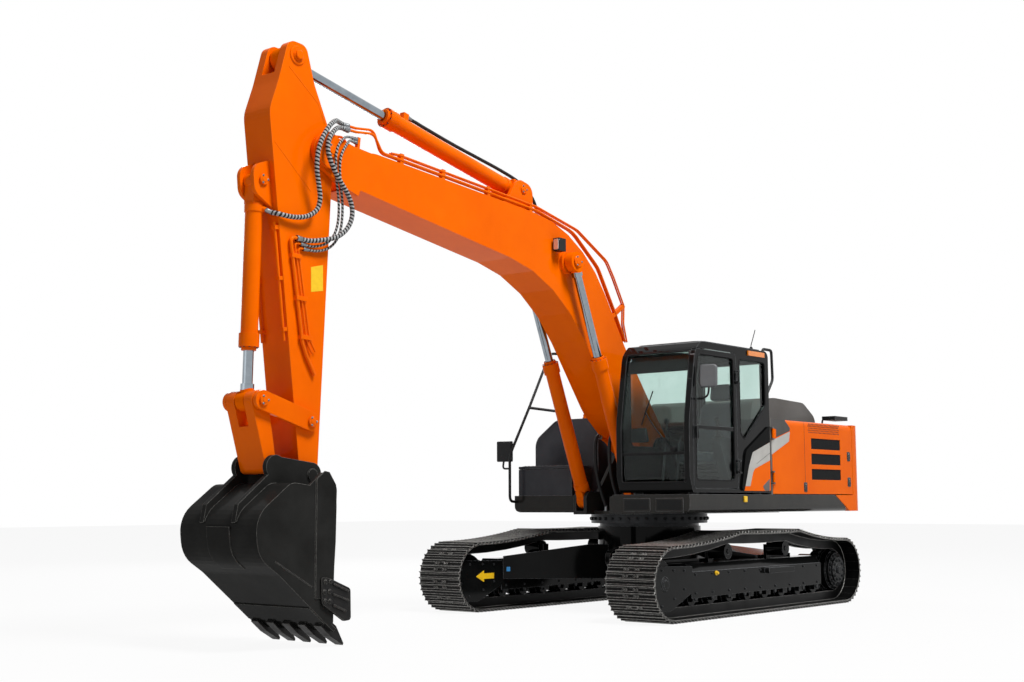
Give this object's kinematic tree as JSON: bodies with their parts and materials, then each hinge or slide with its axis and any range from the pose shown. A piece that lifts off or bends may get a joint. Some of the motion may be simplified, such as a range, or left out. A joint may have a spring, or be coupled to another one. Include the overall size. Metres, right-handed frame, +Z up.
{
  "type": "crawler excavator",
  "caption": "Crawler excavator: swinging upper structure with cab, counterweight and opening covers on two tracks, with boom, arm, cylinders, linkage and toothed bucket.",
  "frame": {"origin": "on the ground, on the swing axis", "axes": "+X forwards to the bucket with the upper structure at rest, +Y to the cab side, +Z up"},
  "size_m": [9.6374, 3.2342, 5.3726],
  "materials": {
    "orange": "gloss",
    "frame": "satin",
    "under": "matte",
    "track": "worn",
    "chrome": "polished",
    "glass": "clear",
    "trim": "grained",
    "seat": "woven",
    "grey": "satin",
    "bucket": "satin",
    "amber": "gloss",
    "engine": "matte",
    "hose": "ribbed",
    "bearing": "ground"
  },
  "bodies": {
    "undercarriage": {"center_frame": "under", "track_frame_left": "under", "track_frame_right": "under", "track_left": "track", "track_right": "track", "rollers": "under", "idlers": "under", "sprockets": "under", "race_inner": "bearing"},
    "upper": {"race_outer": "bearing", "main_frame": "frame", "counterweight": "orange", "cab_shell": "frame", "cab_roof": "frame", "cab_glass": "glass", "seat": "seat", "consoles": "trim", "corner_panel": "orange", "engine_cover": "grey", "engine": "engine", "fuel_tank": "frame", "tool_box": "frame", "handrails": "trim", "mirrors": "trim", "lamps": "amber", "valve_block": "engine", "foot_hose_left": "hose", "foot_hose_right": "hose"},
    "cab_door": {"cab_door": "frame", "cab_door_glass": "glass"},
    "engine_hood": {"engine_hood": "grey"},
    "radiator_door": {"radiator_door": "orange"},
    "pump_door": {"pump_door": "orange"},
    "tool_box_lid": {"tool_box_lid": "frame"},
    "boom": {"boom": "orange", "boom_pipes": "orange", "boom_lamp": "trim", "arm_hose_1": "hose", "arm_hose_2": "hose", "arm_hose_3": "hose", "arm_hose_4": "hose"},
    "boom_barrels": {"boom_barrels": "orange"},
    "boom_rods": {"boom_rods": "chrome"},
    "arm_barrel": {"arm_barrel": "orange", "cylinder_hose": "hose"},
    "arm_rod": {"arm_rod": "chrome"},
    "arm": {"arm": "orange", "arm_pipes": "orange"},
    "bucket_barrel": {"bucket_barrel": "orange"},
    "bucket_rod": {"bucket_rod": "chrome"},
    "side_links": {"side_links": "orange"},
    "bucket_link": {"bucket_link": "orange"},
    "bucket": {"bucket": "bucket", "bucket_teeth": "bucket"}
  },
  "joints": [
    {"name": "swing", "type": "hinge", "parent": "undercarriage", "child": "upper", "pos_m": [0, 0, 1.02], "axis": [0, 0, 1], "continuous": true},
    {"name": "boom", "type": "hinge", "parent": "upper", "child": "boom", "pos_m": [0.08, 0, 1.82], "axis": [0, -1, 0], "range_deg": [-65, 32], "deforming": ["foot_hose_left", "foot_hose_right"]},
    {"name": "boom_barrels", "type": "hinge", "parent": "upper", "child": "boom_barrels", "pos_m": [0.83, 0, 1.26], "axis": [0, -1, 0], "range_deg": [-66.94, 33.46]},
    {"name": "boom_rods", "type": "slide", "parent": "boom_barrels", "child": "boom_rods", "axis": [0.3839, 0, 0.9234], "range_m": [-0.9582, 0.4768]},
    {"name": "arm", "type": "hinge", "parent": "boom", "child": "arm", "pos_m": [5.48646, 0, 4.42195], "axis": [0, 1, 0], "range_deg": [-79, 35], "deforming": ["arm_hose_1", "arm_hose_2", "arm_hose_3", "arm_hose_4"]},
    {"name": "arm_barrel", "type": "hinge", "parent": "boom", "child": "arm_barrel", "pos_m": [2.55707, 0, 4.58247], "axis": [0, 1, 0], "range_deg": [-5.9, 3.17], "deforming": ["cylinder_hose"]},
    {"name": "arm_rod", "type": "slide", "parent": "arm_barrel", "child": "arm_rod", "axis": [0.9799, 0, 0.1996], "range_m": [-1.0791, 0.4837]},
    {"name": "bucket", "type": "hinge", "parent": "arm", "child": "bucket", "pos_m": [5.64085, 0, 1.476], "axis": [0, 1, 0], "range_deg": [-40, 115]},
    {"name": "side_links", "type": "hinge", "parent": "arm", "child": "side_links", "pos_m": [5.64017, 0, 1.94761], "axis": [0, 1, 0], "range_deg": [-29, 81.5]},
    {"name": "bucket_link", "type": "hinge", "parent": "side_links", "child": "bucket_link", "pos_m": [6.20002, 0, 2.11026], "axis": [0, 1, 0], "range_deg": [-54.83, 19.72]},
    {"name": "bucket_barrel", "type": "hinge", "parent": "arm", "child": "bucket_barrel", "pos_m": [6.15136, 0, 4.05926], "axis": [0, 1, 0], "range_deg": [-2.16, 4.35]},
    {"name": "bucket_rod", "type": "slide", "parent": "bucket_barrel", "child": "bucket_rod", "axis": [0.025, 0, -0.9997], "range_m": [-0.2557, 0.7163]},
    {"name": "cab_door", "type": "hinge", "parent": "upper", "child": "cab_door", "pos_m": [0.404, 1.487, 2], "axis": [0, 0, 1], "range_deg": [0, 110]},
    {"name": "engine_hood", "type": "hinge", "parent": "upper", "child": "engine_hood", "pos_m": [-2.396, 0, 2.214], "axis": [0, -1, 0], "range_deg": [0, 60]},
    {"name": "radiator_door", "type": "hinge", "parent": "upper", "child": "radiator_door", "pos_m": [-0.376, 1.485, 1.7], "axis": [0, 0, -1], "range_deg": [0, 80]},
    {"name": "pump_door", "type": "hinge", "parent": "upper", "child": "pump_door", "pos_m": [-1.326, -1.485, 1.7], "axis": [0, 0, 1], "range_deg": [0, 80]},
    {"name": "tool_box_lid", "type": "hinge", "parent": "upper", "child": "tool_box_lid", "pos_m": [0.362, 0, 1.652], "axis": [0, -1, 0], "range_deg": [0, 80]}
  ],
  "couplings": [
    {"joint": "boom_barrels", "follows": "boom", "ratio": 1.0144},
    {"joint": "boom_rods", "follows": "boom", "m_per_rad": 0.8358},
    {"joint": "arm_barrel", "follows": "arm", "ratio": 0.062},
    {"joint": "arm_rod", "follows": "arm", "m_per_rad": 0.7754},
    {"joint": "side_links", "follows": "bucket", "ratio": 0.7},
    {"joint": "bucket_link", "follows": "bucket", "ratio": -0.4681},
    {"joint": "bucket_barrel", "follows": "bucket", "ratio": 0.0291},
    {"joint": "bucket_rod", "follows": "bucket", "m_per_rad": 0.3519}
  ]
}
